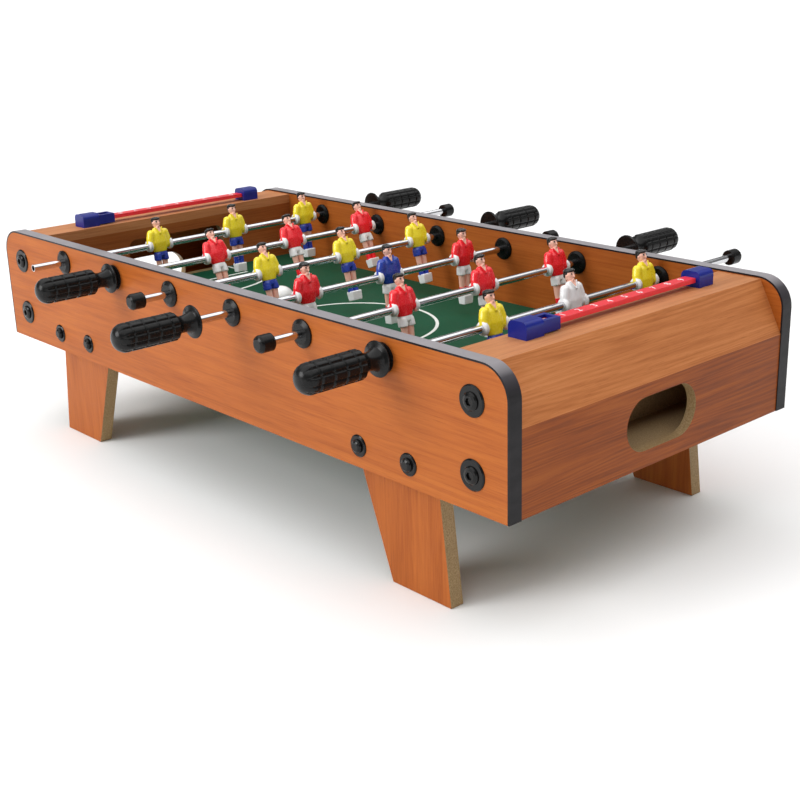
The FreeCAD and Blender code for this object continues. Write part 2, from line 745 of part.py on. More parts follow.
def rod_cap(number, rod, x):
    """Round cap on the plain end; local +Y points away from the table."""
    half_turn = 0 if rod["side"] < 0 else 180
    body = new_body(f"rod_{number}_end_cap", x, D[f"rod_{number}_plain_end"], D["rod_height"],
                    (Z_AXIS, half_turn))
    back, radius = -D["cap_length"], D["cap_radius"]
    depth = D["cap_bore_depth"] - D["cap_length"]
    revolve(body, [(back, BORE), (back, radius - 0.6), (back + 0.6, radius), (-2.6, radius),
                   (-0.9, radius * 0.86), (0, radius * 0.6), (0, 0), (depth, 0), (depth, BORE)],
            f"rod_{number}_cap")


TORSO = [(-7.0, 7.6, 4.6), (-1.0, 10.6, 5.4), (4.5, 11.6, 5.9), (11.0, 11.0, 5.7),
         (15.4, 8.6, 4.6), (17.4, 4.6, 3.0)]
LEGS = [(-6.0, 7.0, 4.5), (-13.5, 7.8, 4.9), (-15.5, 6.6, 4.1), (-26.0, 5.6, 3.6),
        (-34.0, 5.2, 3.3)]
HEAD = [(2.5, 16.0), (2.5, 18.6), (3.9, 19.6), (4.7, 21.6), (4.8, 23.4), (4.3, 25.6),
        (3.0, 27.0), (1.2, 27.6)]


def rod_players(number, x):
    """Three figures; the rod axis runs through each one's cuffs."""
    lean = D[f"rod_{number}_lean"]
    body = new_body(f"rod_{number}_players", x, D[f"rod_{number}_middle"] - D["figure_spacing"],
                    D["rod_height"], (Y_AXIS, -lean))
    body.setExpression("Placement.Rotation.Angle", (-lean).text)
    body.setExpression("Placement.Rotation.Axis.x", "0")
    body.setExpression("Placement.Rotation.Axis.y", "1")
    body.setExpression("Placement.Rotation.Axis.z", "0")
    label = f"players_{number}"
    features = [loft(body, [tuple(map(as_dim, s)) for s in TORSO], f"{label}_torso")]
    features.append(loft(body, [tuple(map(as_dim, s)) for s in LEGS], f"{label}_legs"))

    cuffs = new_sketch(body, "XZ_Plane", f"{label}_cuff_ring")
    circles(cuffs, [(0, 0)], D["cuff_radius"])
    features.append(pad(body, cuffs, D["cuff_half_width"] * 2, f"{label}_cuffs"))

    foot = new_sketch(body, "XZ_Plane", f"{label}_foot_side")
    polygon(foot, [(-D["foot_heel"] + 0.8, -D["foot_bottom"]), (D["foot_toe"] - 1.0, -D["foot_bottom"]),
                   (D["foot_toe"], -D["foot_top"]), (-D["foot_heel"], -D["foot_top"])])
    features.append(pad(body, foot, D["foot_half_width"] * 2, f"{label}_foot"))

    head = new_sketch(body, "XZ_Plane", f"{label}_head_profile")
    polygon(head, [(0, HEAD[0][1])] + HEAD + [(0, HEAD[-1][1])])
    turned = body.newObject("PartDesign::Revolution", f"{label}_head")
    turned.Profile = head
    turned.ReferenceAxis = (head, ["V_Axis"])
    turned.Angle = 360.0
    doc.recompute()
    features.append(turned)

    bore = new_sketch(body, "XZ_Plane", f"{label}_bore_ring")
    circles(bore, [(0, 0)], BORE)
    features.append(cut_through(body, bore, f"{label}_bore"))

    row = body.newObject("PartDesign::LinearPattern", f"{label}_row")
    row.TransformMode = "Whole shape"
    row.Direction = (origin_feature(body, "Y_Axis"), [""])
    row.Mode = "Extent"
    row.Length = D["figure_spacing"].value * 2
    row.setExpression("Length", (D["figure_spacing"] * 2).text)
    row.Occurrences = 3
    body.Tip = row
    doc.recompute()


def build():
    for side, sign in SIDES.items():
        side_wall(side, sign)
        edge_band(side, sign)
        rod_bushings(side, sign)
        for end, end_sign in ENDS.items():
            leg(side, sign, end, end_sign)
    for end, sign in ENDS.items():
        end_boards(end, sign)
        scorer(end, sign)
    playfield()
    ball()
    field_battens()
    corner_blocks()
    panel_fasteners()
    leg_fasteners()
    for number, rod in enumerate(RODS, 1):
        x = D["rod_pitch"] * (number - 3.5)
        rod_tube(number, rod, x)
        rod_handle(number, rod, x)
        rod_players(number, x)
        if rod["cap"]:
            rod_cap(number, rod, x)


def check_and_export():
    """Stop on any failed feature or bad shape, then write one STEP file per body."""
    doc.recompute()
    for item in doc.Objects:
        if "Invalid" in item.State or "Error" in item.State:
            raise RuntimeError(f"{item.Name} did not compute: {item.State}")
    os.makedirs("parts", exist_ok=True)
    bodies = [item for item in doc.Objects if item.TypeId == "PartDesign::Body"]
    for body in bodies:
        if body.Shape.isNull() or not body.Shape.isValid():
            raise RuntimeError(f"{body.Label} has no valid shape")
        body.Shape.exportStep(f"parts/{body.Label}.step")
        box = body.Shape.BoundBox
        print(f"{body.Label:22s} solids {len(body.Shape.Solids):2d} volume {body.Shape.Volume:10.1f} "
              f"x {box.XMin:7.1f} {box.XMax:7.1f} y {box.YMin:7.1f} {box.YMax:7.1f} "
              f"z {box.ZMin:6.1f} {box.ZMax:6.1f}")
    print(len(bodies), "bodies written")


build()
check_and_export()
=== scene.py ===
import json
import math

import bmesh
import bpy
from mathutils import Matrix, Vector


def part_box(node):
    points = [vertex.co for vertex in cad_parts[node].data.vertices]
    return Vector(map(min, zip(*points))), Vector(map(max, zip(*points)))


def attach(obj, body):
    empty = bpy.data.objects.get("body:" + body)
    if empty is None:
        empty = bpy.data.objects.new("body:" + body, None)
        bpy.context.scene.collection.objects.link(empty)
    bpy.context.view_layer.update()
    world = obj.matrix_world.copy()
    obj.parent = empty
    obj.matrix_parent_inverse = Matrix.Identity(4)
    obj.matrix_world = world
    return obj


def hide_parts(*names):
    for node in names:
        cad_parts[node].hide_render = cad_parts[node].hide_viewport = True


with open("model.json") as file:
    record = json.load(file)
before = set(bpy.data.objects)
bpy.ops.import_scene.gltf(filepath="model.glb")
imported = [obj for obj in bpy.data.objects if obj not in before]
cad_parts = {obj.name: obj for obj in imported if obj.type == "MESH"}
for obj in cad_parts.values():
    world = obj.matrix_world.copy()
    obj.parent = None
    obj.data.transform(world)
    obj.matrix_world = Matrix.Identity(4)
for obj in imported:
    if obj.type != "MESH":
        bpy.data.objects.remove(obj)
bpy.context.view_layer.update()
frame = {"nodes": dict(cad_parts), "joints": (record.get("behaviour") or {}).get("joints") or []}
NODES = frame["nodes"]
MM = 0.001

# Camera

camera_data = bpy.data.cameras.new("camera")
camera_data.lens = 58.74
camera_data.sensor_width = 36.0
camera_data.clip_end = 50.0
camera = bpy.data.objects.new("camera", camera_data)
bpy.context.scene.collection.objects.link(camera)
camera.matrix_world = Matrix((
    (0.67265001, -0.22104566, 0.70617334, 0.87987),
    (0.73945764, 0.23598867, -0.63048532, -0.73177),
    (-0.02728287, 0.94628123, 0.32219168, 0.44433),
    (0.0, 0.0, 0.0, 1.0)))
bpy.context.scene.camera = camera
bpy.context.scene.view_settings.view_transform = "Standard"


# Material helpers


def new_material(name):
    material = bpy.data.materials.new(name)
    material.use_nodes = True
    return material, material.node_tree, material.node_tree.nodes["Principled BSDF"]


def add(tree, kind, inputs=None, **settings):
    """Add a node; an input value that is a socket is linked, anything else is set."""
    item = tree.nodes.new(kind)
    for key, value in settings.items():
        setattr(item, key, value)
    for key, value in (inputs or {}).items():
        if isinstance(value, bpy.types.NodeSocket):
            tree.links.new(value, item.inputs[key])
        else:
            item.inputs[key].default_value = value
    return item


def object_coords(tree):
    return add(tree, "ShaderNodeTexCoord").outputs["Object"]


def noise(tree, coords, scale, detail=3.0, stretch=(1, 1, 1), distortion=0.0, roughness=0.55):
    mapped = add(tree, "ShaderNodeMapping", {"Vector": coords, "Scale": stretch})
    return add(tree, "ShaderNodeTexNoise", {
        "Vector": mapped.outputs["Vector"], "Scale": scale, "Detail": detail,
        "Roughness": roughness, "Distortion": distortion}).outputs["Fac"]


def ramp(tree, value, stops):
    item = add(tree, "ShaderNodeValToRGB", {"Fac": value})
    elements = item.color_ramp.elements
    while len(elements) < len(stops):
        elements.new(0.5)
    for element, (position, colour) in zip(elements, stops):
        element.position = position
        element.color = (*colour, 1.0)
    return item.outputs["Color"]


def mix(tree, factor, first, second, blend="MIX"):
    """Blend two colours; sockets 0, 6 and 7 are the factor and the colours."""
    item = add(tree, "ShaderNodeMix", data_type="RGBA", blend_type=blend)
    for slot, value in ((0, factor), (6, first), (7, second)):
        if isinstance(value, bpy.types.NodeSocket):
            tree.links.new(value, item.inputs[slot])
        elif slot:
            item.inputs[slot].default_value = (*value, 1.0)
        else:
            item.inputs[slot].default_value = value
    return item.outputs[2]


def spread(tree, value, low, high):
    """Map noise around one half to the range low to high."""
    return add(tree, "ShaderNodeMapRange", {
        "Value": value, "From Min": 0.3, "From Max": 0.7,
        "To Min": low, "To Max": high}).outputs["Result"]


def bump(tree, shader, height, distance, strength=1.0):
    item = add(tree, "ShaderNodeBump", {
        "Height": height, "Distance": distance, "Strength": strength})
    tree.links.new(item.outputs["Normal"], shader.inputs["Normal"])


def scaled(colour, factor):
    return tuple(min(1.0, c * factor) for c in colour)


def raw_board_colour(tree, coords):
    fibres = noise(tree, coords, 900.0, 4.0)
    cloud = noise(tree, coords, 60.0, 2.0)
    base = ramp(tree, fibres, [(0.3, (0.23, 0.145, 0.063)), (0.55, (0.36, 0.240, 0.115)),
                               (0.75, (0.50, 0.350, 0.185))])
    return mix(tree, spread(tree, cloud, 0.0, 0.35), base, (0.27, 0.185, 0.088))


def face_mask(tree, axes):
    """1 on faces that look along any of the given axes, 0 on the board's edges."""
    normal = add(tree, "ShaderNodeTexCoord").outputs["Normal"]
    parts = add(tree, "ShaderNodeSeparateXYZ", {"Vector": normal}).outputs
    total = None
    for axis in axes:
        size = add(tree, "ShaderNodeMath", {0: parts[axis]}, operation="ABSOLUTE").outputs[0]
        if total is None:
            total = size
        else:
            total = add(tree, "ShaderNodeMath", {0: total, 1: size}, operation="MAXIMUM").outputs[0]
    return add(tree, "ShaderNodeMath", {0: total, 1: 0.6}, operation="GREATER_THAN").outputs[0]


def inner_face_mask(tree, coords):
    """1 on upright faces that look back towards the middle of the table."""
    side = add(tree, "ShaderNodeSeparateXYZ", {"Vector": coords}).outputs["X"]
    side = add(tree, "ShaderNodeMath", {0: side}, operation="SIGN").outputs[0]
    normal = add(tree, "ShaderNodeTexCoord").outputs["Normal"]
    looks = add(tree, "ShaderNodeSeparateXYZ", {"Vector": normal}).outputs["X"]
    outward = add(tree, "ShaderNodeMath", {0: looks, 1: side}, operation="MULTIPLY").outputs[0]
    return add(tree, "ShaderNodeMath", {0: outward, 1: -0.6}, operation="LESS_THAN").outputs[0]


def grain_noise(tree, coords, grain, across, along, detail, distortion, roughness=0.55):
    """Noise drawn out along one axis."""
    scale = [along if axis == grain else across for axis in "XYZ"]
    return noise(tree, coords, 1.0, detail, scale, distortion, roughness)


def laminate(name, grain, light, middle, dark, faces, figure=0.02):
    """Printed wood grain on the board's faces and raw fibreboard on its edges.

    With no faces named, only the side towards the middle of the table is printed."""
    material, tree, shader = new_material(name)
    coords = object_coords(tree)
    broad = grain_noise(tree, coords, grain, 62.0, 3.6, 3.0, 1.2)
    fine = grain_noise(tree, coords, grain, 620.0, 15.0, 5.0, 0.4, 0.7)
    pores = grain_noise(tree, coords, grain, 1900.0, 55.0, 2.0, 0.2, 0.6)
    warp = grain_noise(tree, coords, grain, 30.0, 1.5, 1.0, 0.4)
    rings = add(tree, "ShaderNodeMath", {0: warp, 1: 150.0}, operation="MULTIPLY").outputs[0]
    rings = add(tree, "ShaderNodeMath", {0: rings}, operation="SINE").outputs[0]
    grainy = add(tree, "ShaderNodeMath", {0: broad, 1: 0.42}, operation="MULTIPLY").outputs[0]
    grainy = add(tree, "ShaderNodeMath", {0: fine, 1: 0.58, 2: grainy},
                 operation="MULTIPLY_ADD").outputs[0]
    grainy = add(tree, "ShaderNodeMath", {0: rings, 1: figure, 2: grainy},
                 operation="MULTIPLY_ADD").outputs[0]
    wood = ramp(tree, grainy, [(0.36, dark), (0.5, middle), (0.64, light)])
    flecks = ramp(tree, pores, [(0.28, (0.62, 0.56, 0.52)), (0.42, (1.0, 1.0, 1.0))])
    wood = mix(tree, 0.55, wood, flecks, "MULTIPLY")
    mask = face_mask(tree, faces) if faces else inner_face_mask(tree, coords)
    tree.links.new(mix(tree, mask, raw_board_colour(tree, coords), wood), shader.inputs["Base Color"])
    tree.links.new(spread(tree, fine, 0.42, 0.52), shader.inputs["Roughness"])
    shader.inputs["Specular IOR Level"].default_value = 0.2
    bump(tree, shader, pores, 0.00006, 0.5)
    return material


def plastic(name, colour, rough=0.32, mottle=0.12, grain=700.0, specular=0.5, coat=0.0):
    """Moulded plastic with faint cloudiness and a fine surface texture."""
    material, tree, shader = new_material(name)
    coords = object_coords(tree)
    cloud = noise(tree, coords, 90.0, 3.0)
    skin = noise(tree, coords, grain, 2.0)
    tree.links.new(mix(tree, spread(tree, cloud, 0.0, 1.0), scaled(colour, 1.0 - mottle),
                       scaled(colour, 1.0 + mottle)), shader.inputs["Base Color"])
    tree.links.new(spread(tree, skin, rough * 0.93, rough * 1.08), shader.inputs["Roughness"])
    shader.inputs["Specular IOR Level"].default_value = specular
    shader.inputs["Coat Weight"].default_value = coat
    bump(tree, shader, skin, 0.00001, 0.15)
    return material


def chrome(name):
    material, tree, shader = new_material(name)
    coords = object_coords(tree)
    drawn = noise(tree, coords, 1.0, 2.0, (1600.0, 30.0, 1600.0))
    tree.links.new(mix(tree, spread(tree, drawn, 0.0, 1.0), (0.56, 0.56, 0.58), (0.74, 0.74, 0.76)),
                   shader.inputs["Base Color"])
    tree.links.new(spread(tree, drawn, 0.09, 0.17), shader.inputs["Roughness"])
    shader.inputs["Metallic"].default_value = 1.0
    return material


def raw_board(name):
    material, tree, shader = new_material(name)
    coords = object_coords(tree)
    tree.links.new(raw_board_colour(tree, coords), shader.inputs["Base Color"])
    fibres = noise(tree, coords, 1400.0, 3.0)
    tree.links.new(spread(tree, fibres, 0.7, 0.9), shader.inputs["Roughness"])
    bump(tree, shader, fibres, 0.0001, 0.6)
    return material


def field(name):
    """Green printed board, softly clouded, with raw edges."""
    material, tree, shader = new_material(name)
    coords = object_coords(tree)
    cloud = noise(tree, coords, 7.0, 3.0)
    speckle = noise(tree, coords, 1300.0, 2.0)
    green = ramp(tree, cloud, [(0.3, (0.005, 0.056, 0.028)), (0.7, (0.012, 0.088, 0.044))])
    green = mix(tree, spread(tree, speckle, 0.0, 0.4), green, (0.018, 0.098, 0.054))
    tree.links.new(mix(tree, face_mask(tree, "Z"), raw_board_colour(tree, coords), green),
                   shader.inputs["Base Color"])
    tree.links.new(spread(tree, speckle, 0.42, 0.55), shader.inputs["Roughness"])
    shader.inputs["Specular IOR Level"].default_value = 0.07
    bump(tree, shader, speckle, 0.00005, 0.5)
    return material


def edge_trim(name):
    """Satin dark plastic edging with painted sheen: pale on its upper side as a painted reflection of
    overhead light, dark down the ends.
    """
    material, tree, shader = new_material(name)
    coords = object_coords(tree)
    normal = add(tree, "ShaderNodeTexCoord").outputs["Normal"]
    upward = add(tree, "ShaderNodeSeparateXYZ", {"Vector": normal}).outputs["Z"]
    # Colour by how far each face looks up: the pale grey on upper faces is a painted highlight that
    # stands in for reflected overhead light.
    painted_sheen = ramp(tree, upward, [(0.2, (0.008, 0.007, 0.008)), (0.7, (0.060, 0.055, 0.062)),
                               (0.97, (0.320, 0.300, 0.315))])
    cloud = noise(tree, coords, 1.0, 3.0, (25.0, 25.0, 90.0))
    tree.links.new(mix(tree, spread(tree, cloud, 0.0, 0.25), painted_sheen, (0.05, 0.045, 0.05)),
                   shader.inputs["Base Color"])
    shader.inputs["Specular IOR Level"].default_value = 0.15
    skin = noise(tree, coords, 500.0, 2.0)
    tree.links.new(spread(tree, skin, 0.28, 0.40), shader.inputs["Roughness"])
    bump(tree, shader, skin, 0.00002, 0.3)
    return material


WALL = ((0.440, 0.124, 0.019), (0.383, 0.098, 0.014), (0.305, 0.071, 0.008))
# END is the same laminate painted darker: painted shade for the end panels, which get less light.
END = ((0.312, 0.079, 0.009), (0.244, 0.054, 0.005), (0.166, 0.034, 0.003))
# SLANT and TOP are the same laminate painted lighter: painted light for the faces turned up towards
# the overhead light.
SLANT = ((0.548, 0.208, 0.070), (0.472, 0.164, 0.050), (0.364, 0.116, 0.033))
TOP = ((0.566, 0.248, 0.104), (0.503, 0.204, 0.081), (0.412, 0.157, 0.058))
GOAL = ((0.409, 0.131, 0.035), (0.339, 0.097, 0.023), (0.252, 0.066, 0.015))
MATERIALS = {
    "wall": laminate("wood_wall", "X", *WALL, "Y"),
    "leg": laminate("wood_leg", "Z", *WALL, "Y"),
    "end": laminate("wood_end", "Y", *END, "X", 0.055),
    "slant": laminate("wood_slant", "Y", *SLANT, "XZ", 0.04),
    "top": laminate("wood_top", "Y", *TOP, "XZ"),
    "goal": laminate("wood_goal", "Y", *GOAL, ""),
    "board": raw_board("raw_board"),
    "field": field("field_green"),
    "line": plastic("field_line", (0.78, 0.82, 0.78), 0.45, 0.05),
    "band": edge_trim("edge_trim"),
    "bushing": plastic("black_plastic", (0.006, 0.006, 0.006), 0.26, 0.2, 500.0, 0.18),
    "handle": plastic("handle_black", (0.006, 0.006, 0.006), 0.24, 0.2, 400.0, 0.2),
    "metal": plastic("black_metal", (0.005, 0.005, 0.005), 0.18, 0.2, 400.0, 0.25),
    "chrome": chrome("rod_chrome"),
    "red_bar": plastic("scorer_red", (0.80, 0.025, 0.040), 0.3, 0.06),
    "blue_bar": plastic("scorer_blue", (0.007, 0.016, 0.210), 0.3, specular=0.3),
    "numeral": plastic("scorer_numeral", (0.85, 0.80, 0.82), 0.5, 0.03),
    "yellow": plastic("shirt_yellow", (1.0, 0.80, 0.030), 0.27, 0.03, coat=0.3),
    "red": plastic("shirt_red", (0.98, 0.018, 0.030), 0.27, 0.04, coat=0.3),
    "blue": plastic("shirt_blue", (0.018, 0.055, 0.400), 0.27, 0.1, coat=0.3),
    "white_shirt": plastic("shirt_white", (0.88, 0.88, 0.89), 0.3, 0.03, coat=0.3),
    "white": plastic("player_white", (0.88, 0.88, 0.88), 0.32, 0.03),
    "ball": plastic("ball_white", (0.88, 0.88, 0.87), 0.25, 0.03, coat=0.4),
    "skin": plastic("player_skin", (0.97, 0.54, 0.42), 0.36, 0.03),
    "hair": plastic("player_black", (0.014, 0.013, 0.013), 0.28, 0.2),
}


def finish_of(node):
    """The material key that a carried-over CAD node takes."""
    table = (("side_wall", "wall"), ("leg_washers", "metal"), ("leg_bolts", "metal"),
             ("leg_", "leg"), ("end_panel", "end"), ("slant_panel", "slant"),
             ("top_panel", "top"), ("goal_wall", "goal"), ("return_floor", "board"),
             ("field_battens", "board"), ("corner_blocks", "board"), ("playfield", "field"),
             ("edge_band", "band"), ("rod_bushings", "bushing"), ("panel_", "metal"),
             ("scorer_rail", "red_bar"), ("scorer_", "blue_bar"), ("ball", "ball"))
    for start, key in table:
        if node.startswith(start):
            return key
    if node.endswith("tube"):
        return "chrome"
    return "handle"


for node_name, node_object in NODES.items():
    node_object.data.materials.clear()
    node_object.data.materials.append(MATERIALS[finish_of(node_name)])


# Mesh helpers, all in millimetres until placed


def piece(name, mesh, key, body, replaced=()):
    """Put a mesh made in metres in the scene, on its body and with its finish."""
    mesh.materials.append(MATERIALS[key])
    for polygon in mesh.polygons:
        polygon.use_smooth = True
    made = bpy.data.objects.new(name, mesh)
    bpy.context.scene.collection.objects.link(made)
    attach(made, body)
    if replaced:
        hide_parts(*replaced)
    return made


def flat_shaded(item):
    for polygon in item.data.polygons:
        polygon.use_smooth = False


def to_mesh(bm, name, place=None):
    """Turn a bmesh into a mesh, moved to its place, with its faces looking outward."""
    bmesh.ops.recalc_face_normals(bm, faces=bm.faces)
    if place is not None:
        bm.transform(place)
    mesh = bpy.data.meshes.new(name)
    bm.to_mesh(mesh)
    bm.free()
    return mesh


GOLDEN_ANGLE = 2.399963
BALL_POINTS = 90


def sphere_points(centre, radii):
    """Evenly spread points over an ellipsoid."""
    if not isinstance(radii, tuple):
        radii = (radii, radii, radii)
    points = []
    for i in range(BALL_POINTS):
        z = 1.0 - 2.0 * (i + 0.5) / BALL_POINTS
        flat = math.sqrt(1.0 - z * z)
        turn = i * GOLDEN_ANGLE
        points.append(Vector((centre[0] + radii[0] * flat * math.cos(turn),
                              centre[1] + radii[1] * flat * math.sin(turn),
                              centre[2] + radii[2] * z)))
    return points


def add_hull(bm, balls):
    """Smallest rounded solid around some ellipsoids."""
    made = [bm.verts.new(p) for centre, radii in balls for p in sphere_points(centre, radii)]
    result = bmesh.ops.convex_hull(bm, input=made)
    loose = [v for v in result["geom_interior"] if isinstance(v, bmesh.types.BMVert)]
    loose += [v for v in result["geom_unused"] if isinstance(v, bmesh.types.BMVert)]
    bmesh.ops.delete(bm, geom=list(set(loose)), context="VERTS")


def add_lathe(bm, rows, columns, radius):
    """Skin of rings about the Y axis; radius(y, angle) gives each point, ends are closed."""
    rings = []
    for y in rows:
        ring = []
        for j in range(columns):
            angle = 2 * math.pi * j / columns
            r = radius(y, angle)
            ring.append(bm.verts.new((r * math.sin(angle), y, r * math.cos(angle))))
        rings.append(ring)
    for first, second in zip(rings, rings[1:]):
        for j in range(columns):
            k = (j + 1) % columns
            bm.faces.new((first[j], first[k], second[k], second[j]))
    bm.faces.new(rings[0])
    bm.faces.new(rings[-1][::-1])


def fused(name, groups, voxel, smooth, keep):
    """Melt rounded solids into one moulded skin; keep is the share of its faces that stay."""
    bm = bmesh.new()
    for balls in groups:
        add_hull(bm, balls)
    rough = to_mesh(bm, f"{name}_rough")
    holder = bpy.data.objects.new(f"{name}_holder", rough)
    bpy.context.scene.collection.objects.link(holder)
    remesh = holder.modifiers.new("remesh", "REMESH")
    remesh.mode = "VOXEL"
    remesh.voxel_size = voxel
    relax = holder.modifiers.new("relax", "SMOOTH")
    relax.iterations = smooth
    thin = holder.modifiers.new("thin", "DECIMATE")
    thin.ratio = keep
    bpy.context.view_layer.update()
    graph = bpy.context.evaluated_depsgraph_get()
    mesh = bpy.data.meshes.new_from_object(holder.evaluated_get(graph))
    bpy.data.objects.remove(holder)
    bpy.data.meshes.remove(rough)
    return mesh


def copies(name, mesh, places):
    """One mesh made of placed copies of another."""
    bm = bmesh.new()
    for place in places:
        before = set(bm.verts)
        bm.from_mesh(mesh)
        fresh = [v for v in bm.verts if v not in before]
        bmesh.ops.transform(bm, matrix=place, verts=fresh)
    result = bpy.data.meshes.new(name)
    bm.to_mesh(result)
    bm.free()
    return result


# Figures: rod axis at the origin, Y along the rod, facing +X


def both(balls):
    """The same group on both sides."""
    flipped = [((c[0], -c[1], c[2]), r) for c, r in balls]
    return [balls, flipped]


SHIRT = [[((0, 0, -6.0), (4.6, 7.4, 1.6)), ((0.3, 0, 2.6), (5.6, 9.6, 3.4)),
          ((0, 0, 10.6), (5.0, 8.8, 3.8)), ((-0.3, 0, 16.0), (3.1, 4.4, 1.6))]]
SHIRT += both([((0, 7.6, 11.6), 4.0), ((0, 9.0, 6.5), 4.1)])
SHIRT += both([((0, 9.0, 6.5), 4.0), ((0, 9.6, 0.4), 4.4)])
SHIRT += both([((3.0, 3.6, 17.0), 0.9), ((5.2, 0.4, 11.4), 0.8)])
SKIN = [[((-0.1, 0, 20.2), (3.9, 3.5, 3.0)), ((0.3, 0, 22.6), (4.2, 3.8, 3.0))],
        [((0.2, 0, 18.0), (2.4, 2.3, 2.0)), ((0.0, 0, 14.0), (3.2, 3.4, 2.0))],
        [((2.2, 1.4, 16.6), 1.4), ((2.2, -1.4, 16.6), 1.4), ((4.4, 0, 13.4), 0.9)],
        [((4.4, 0, 22.2), 0.5), ((4.8, 0, 20.7), 0.75)],
        [((3.2, 0, 18.2), 1.3), ((2.2, 0, 18.6), 1.8)]]
SKIN += both([((0, 3.9, 21.6), (0.9, 0.7, 1.3))])
SKIN += both([((2.0, 10.6, -3.4), (1.9, 1.5, 2.3))])
SKIN += both([((0.3, 3.5, -15.0), 2.9), ((0.0, 3.3, -21.0), 2.7), ((-0.3, 3.1, -29.0), 2.3)])
HAIR = [[((-0.6, 0, 25.3), (4.6, 4.1, 2.2)), ((1.3, 0, 25.6), (3.9, 3.8, 1.6))],
        [((-2.7, 0, 21.6), (2.1, 3.6, 2.4)), ((-1.6, 0, 25.0), (3.2, 4.1, 2.0))]]
HAIR += both([((0.1, 3.5, 23.6), (1.0, 0.6, 1.2)), ((-1.2, 3.4, 22.6), (1.0, 0.7, 1.3))])
HAIR += both([((4.1, 1.2, 23.5), 0.35), ((3.75, 2.4, 23.3), 0.3)])
HAIR += both([((4.1, 1.6, 22.5), (0.35, 0.55, 0.4))])
SHORTS = [[((0, 0, -7.0), (4.3, 7.0, 1.4)), ((0, 0, -10.0), (4.4, 7.0, 2.0))]]
SHORTS += both([((0, 3.7, -9.0), (4.4, 3.6, 2.0)), ((0.3, 4.0, -14.6), (4.6, 3.7, 1.0))])
SOCKS = both([((-0.3, 3.1, -27.6), 2.6), ((-0.3, 3.0, -34.0), 2.7)])
SOCKS += both([((-0.3, 3.1, -26.8), (2.9, 2.9, 0.7))])


def cuffs_and_foot():
    """Rings that grip the rod and the block the figure kicks with."""
    bm = bmesh.new()
    outline = ((9.6, 4.0), (9.8, 5.2), (10.3, 5.55), (12.4, 5.6), (12.95, 5.35), (13.2, 4.8),
               (13.2, 3.45))
    for side in (-1, 1):
        radii = {y * side: r for y, r in outline}
        add_lathe(bm, sorted(radii), 36, lambda y, angle: radii[y])
    mesh = to_mesh(bm, "cuffs")
    corners = []
    for y in (-4.7, 4.7):
        corners += [((-2.6, y, -41.6), 0.9), ((3.4, y, -41.6), 0.9),
                    ((4.4, y, -34.5), 1.0), ((-3.2, y, -34.5), 1.0)]
    foot = fused("foot", [corners], 0.3, 2, 0.3)
    bm = bmesh.new()
    bm.from_mesh(mesh)
    bm.from_mesh(foot)
    whole = bpy.data.meshes.new("whites")
    bm.to_mesh(whole)
    bm.free()
    return whole


PARTS = {
    "shirt": fused("shirt", SHIRT, 0.42, 3, 0.3),
    "skin": fused("skin", SKIN, 0.34, 1, 0.3),
    "hair": fused("hair", HAIR, 0.26, 1, 0.3),
    "shorts": fused("shorts", SHORTS, 0.4, 2, 0.3),
    "socks": fused("socks", SOCKS, 0.4, 1, 0.3),
    "whites": cuffs_and_foot(),
}
# Each rod's shirts from near to far, then its shorts and its socks.
KITS = {
    1: (("yellow", "yellow", "yellow"), "blue", "blue"),
    2: (("red", "red", "red"), "white", "red"),
    3: (("yellow", "yellow", "yellow"), "blue", "blue"),
    4: (("red", "blue", "red"), "white", "red"),
    5: (("red", "red", "red"), "white", "red"),
    6: (("yellow", "white_shirt", "yellow"), "blue", "blue"),
}
# Lean of each rod's figures in degrees.
LEANS = {1: 8.0, 2: 22.0, 3: 16.0, 4: 4.0, 5: 12.0, 6: 12.0}
FIGURE_SPACING = 91.0
JOINTS = {joint["name"]: joint for joint in frame["joints"]}


def players(number):
    """All figures of one rod, one piece per colour."""
    node = f"rod_{number}_players"
    body = f"rod_{number}_team"
    low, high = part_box(node)
    axis = Vector(JOINTS[f"rod_{number}_spin"]["pos_m"])
    middle = (low[1] + high[1]) / 2
    places = []
    for i in (-1, 0, 1):
        spot = Vector((axis.x, middle + i * FIGURE_SPACING * MM, axis.z))
        places.append(Matrix.Translation(spot)
                      @ Matrix.Rotation(math.radians(-LEANS[number]), 4, "Y")
                      @ Matrix.Scale(MM, 4))
    shirts, shorts, socks = KITS[number]
    wanted = [("skin", "skin", places), ("hair", "hair", places), ("shorts", shorts, places),
              ("socks", socks, places), ("whites", "white", places)]
    for colour in dict.fromkeys(shirts):
        spots = [place for place, shirt in zip(places, shirts) if shirt == colour]
        wanted.insert(0, ("shirt", colour, spots))
    for i, (part, key, spots) in enumerate(wanted):
        name = f"rod_{number}_{part}_{key}"
        piece(name, copies(name, PARTS[part], spots), key, body, () if i else (node,))


# Handles


HANDLE_LENGTH = 71.0
HANDLE_POINTS = 120
GRIP_START = 18.4
GRIP_END = 64.0
GRIP_RADIUS = 11.1
GRIP_ROW_STEP = 0.4
GRIP_COLUMNS = 10
RING_MIDDLES = (24.7, 35.8, 46.9, 58.0)
GROOVE_DEPTH = 1.4
END_GROOVE_DEPTH = 0.9
BLOCK_CROWN = 0.35
HANDLE_PROFILE = [(0.0, 11.9), (0.2, 12.9), (0.7, 13.3), (1.3, 13.2), (1.7, 12.6), (1.9, 9.4),
                  (2.6, 8.6), (4.5, 7.7), (7.5, 6.9), (11.0, 6.6), (13.6, 7.0), (15.8, 8.4),
                  (17.4, 10.2), (GRIP_START, GRIP_RADIUS), (61.6, GRIP_RADIUS), (GRIP_END, 10.8),
                  (66.6, 9.6), (68.8, 7.6), (70.2, 5.0), (70.9, 2.4), (HANDLE_LENGTH, 0.3)]


